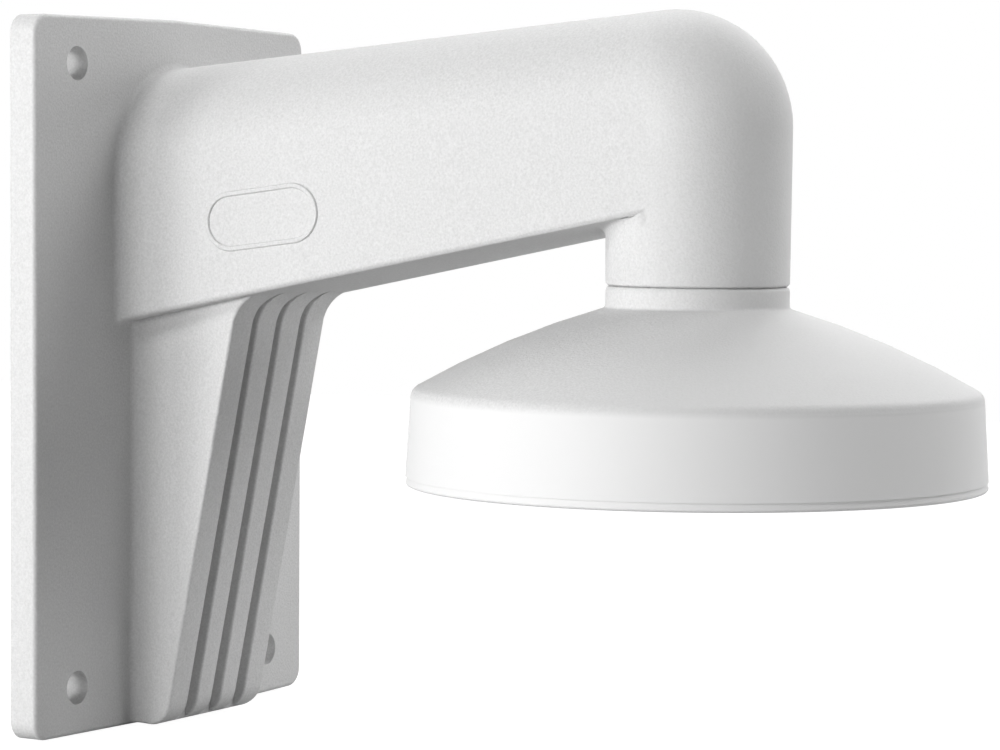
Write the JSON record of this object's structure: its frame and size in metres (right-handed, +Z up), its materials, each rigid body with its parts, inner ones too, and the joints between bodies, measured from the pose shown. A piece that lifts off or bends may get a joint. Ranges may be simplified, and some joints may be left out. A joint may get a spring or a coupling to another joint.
{
  "type": "camera bracket",
  "caption": "Wall bracket for a dome camera: a hollow cast arm with a grooved brace on a wall plate, and a bell-shaped cap under its end that carries the camera.",
  "frame": {"origin": "middle of the wall plate's back face, on the wall plane", "axes": "+Y into the wall, so the arm points along -Y; +Z up; +X along the wall"},
  "size_m": [0.1394, 0.2302, 0.183],
  "materials": {
    "body": "white powder coat, fine grain, satin",
    "cap": "white powder coat, fine grain on the cone, smooth on the rim",
    "seal": "matte black rubber",
    "screw": "plain stainless steel"
  },
  "bodies": {
    "root": {"bracket_body": "body", "camera_cap": "cap", "seal_ring": "seal", "lock_screw": "screw"}
  },
  "joints": []
}
